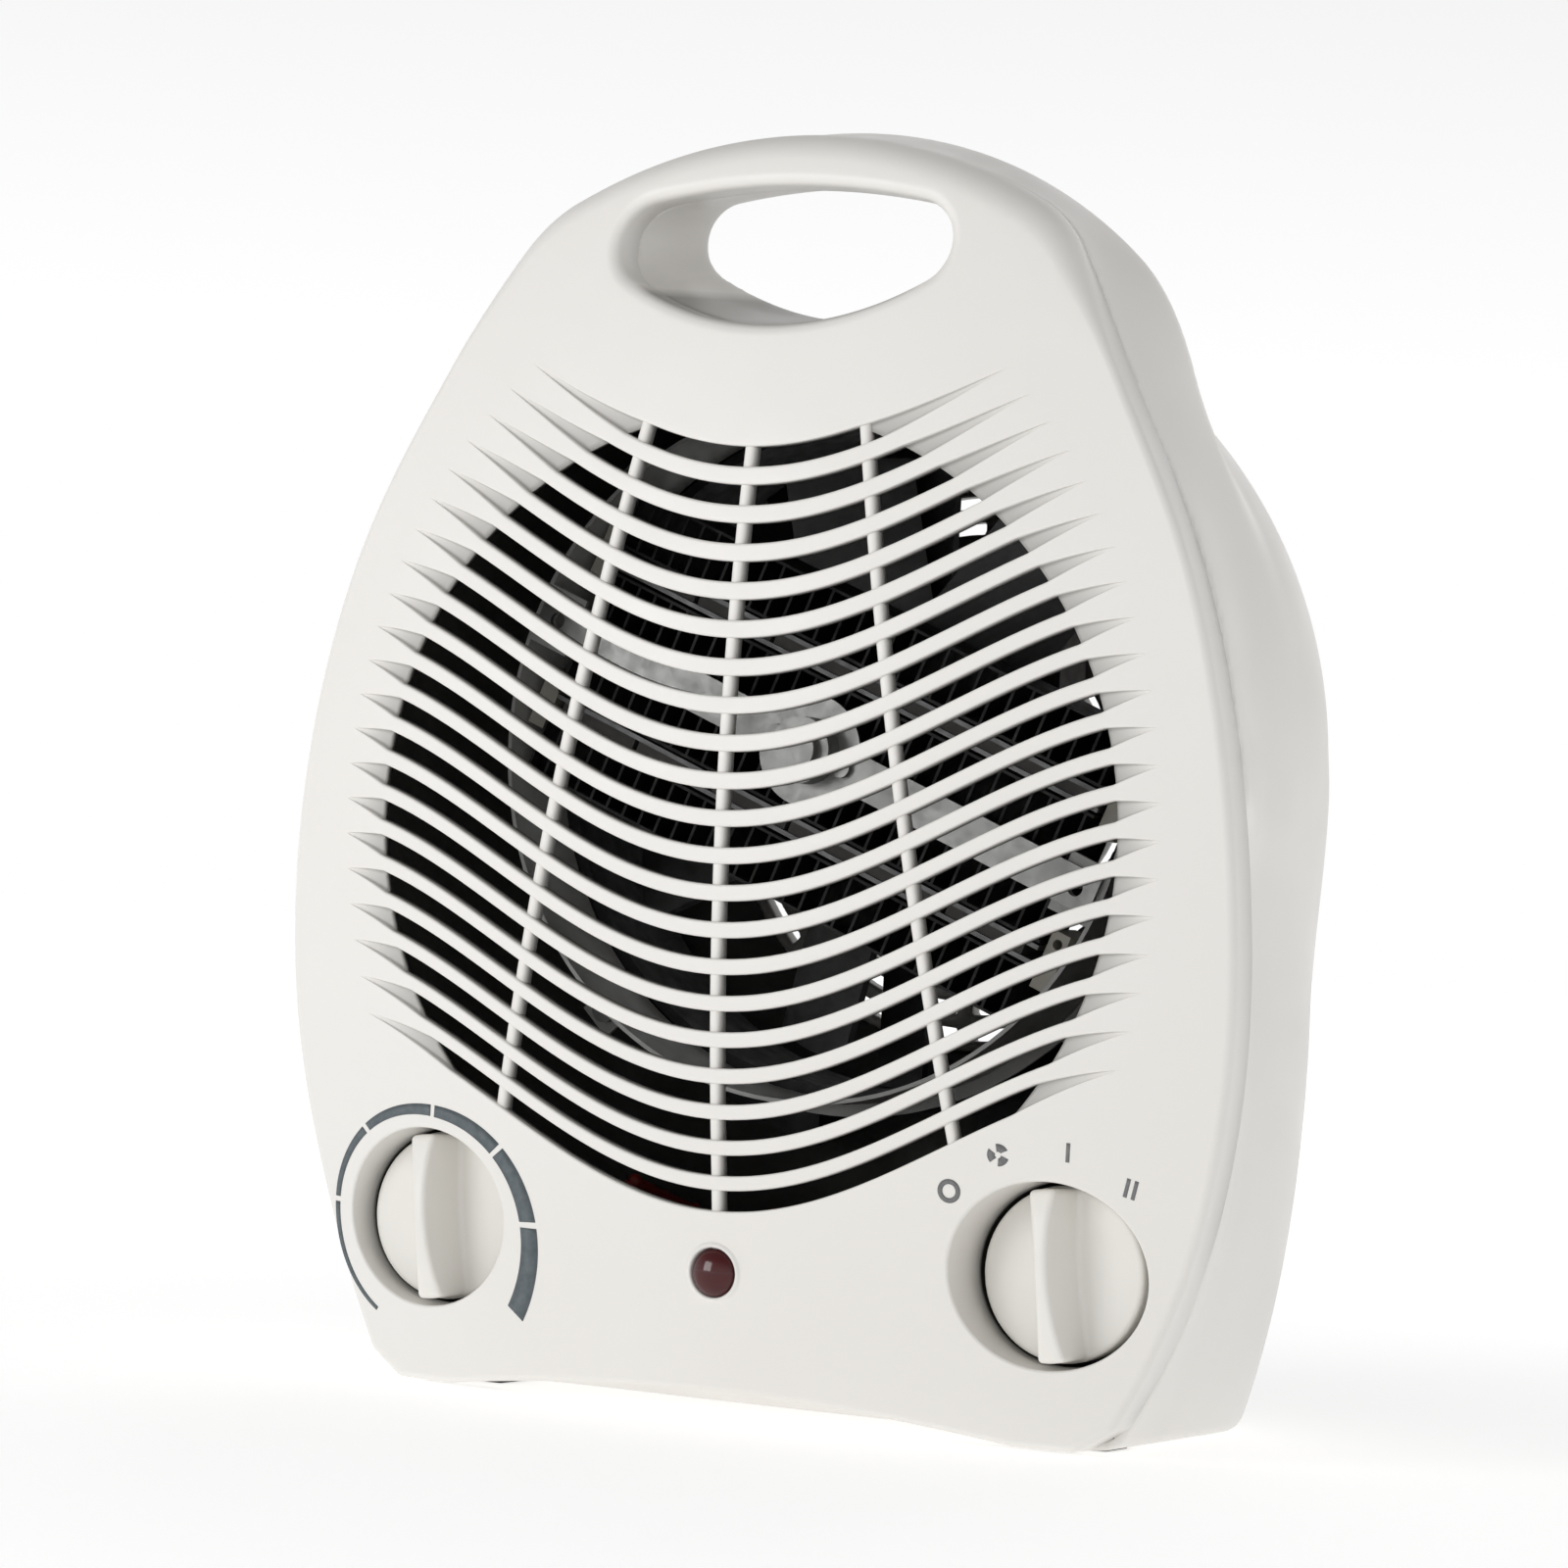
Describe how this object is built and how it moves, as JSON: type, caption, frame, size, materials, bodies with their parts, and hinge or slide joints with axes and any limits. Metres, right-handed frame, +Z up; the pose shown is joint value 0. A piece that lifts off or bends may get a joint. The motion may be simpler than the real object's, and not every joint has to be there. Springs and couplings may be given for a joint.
{
  "type": "ceramic fan heater",
  "caption": "Upright domed fan heater with a wavy front grille, a carrying handle, two rotary knobs set in cups, an indicator lamp and a round rear air inlet.",
  "frame": {"origin": "middle of the footprint, on the surface the feet stand on", "axes": "+Z up, the grille faces -Y, +X is to the right of someone looking at the grille"},
  "size_m": [0.204, 0.118, 0.25],
  "materials": {
    "shell_plastic": "soft satin warm white ABS",
    "knob_plastic": "soft satin",
    "dark_plastic": "matt black",
    "pale_plastic": "matt",
    "red_lens": "polished dark red",
    "zinc_steel": "zinc plated",
    "ground_steel": "ground",
    "core_steel": "varnished laminations",
    "dark_aluminium": "dark oxide",
    "bare_aluminium": "mill finish",
    "ptc_ceramic": "matt dark grey",
    "steatite": "matt cream",
    "coil_winding": "enamelled copper",
    "sintered_bronze": "oiled",
    "foot_rubber": "matt",
    "wire_cover": "soft plastic",
    "label_foil": "plain satin foil"
  },
  "bodies": {
    "housing": {"front_housing": "shell_plastic", "rear_housing": "shell_plastic", "thermostat_body": "steatite", "switch_body": "dark_plastic", "lamp_lens": "red_lens", "lamp_body": "pale_plastic", "heater_ring": "zinc_steel", "heater_strut": "zinc_steel", "heater_fins": "dark_aluminium", "ceramic_stones": "ptc_ceramic", "heater_electrodes": "bare_aluminium", "heater_terminals": "steatite", "thermal_cutout": "zinc_steel", "thermal_fuse": "steatite", "fan_duct": "dark_plastic", "motor_stator": "core_steel", "motor_coil": "coil_winding", "motor_brackets": "zinc_steel", "motor_bearings": "sintered_bronze", "motor_screws": "zinc_steel", "control_screws": "zinc_steel", "duct_screws": "zinc_steel", "housing_screws": "zinc_steel", "rubber_feet": "foot_rubber", "cord_gland": "dark_plastic", "internal_wiring": "wire_cover", "rating_plate": "label_foil"},
    "thermostat_dial": {"thermostat_knob": "knob_plastic", "thermostat_shaft": "zinc_steel"},
    "switch_dial": {"switch_knob": "knob_plastic", "switch_shaft": "zinc_steel"},
    "fan_rotor": {"fan_blades": "bare_aluminium", "motor_shaft": "ground_steel", "motor_rotor": "ground_steel"}
  },
  "joints": [
    {"name": "thermostat_turn", "type": "hinge", "parent": "housing", "child": "thermostat_dial", "pos_m": [-0.0673, -0.03, 0.033], "axis": [0, 1, 0], "range_deg": [-130, 130]},
    {"name": "switch_turn", "type": "hinge", "parent": "housing", "child": "switch_dial", "pos_m": [0.0673, -0.03, 0.033], "axis": [0, 1, 0], "range_deg": [-45, 51]},
    {"name": "fan_spin", "type": "hinge", "parent": "housing", "child": "fan_rotor", "pos_m": [0, 0.012, 0.1285], "axis": [0, 1, 0], "continuous": true}
  ]
}
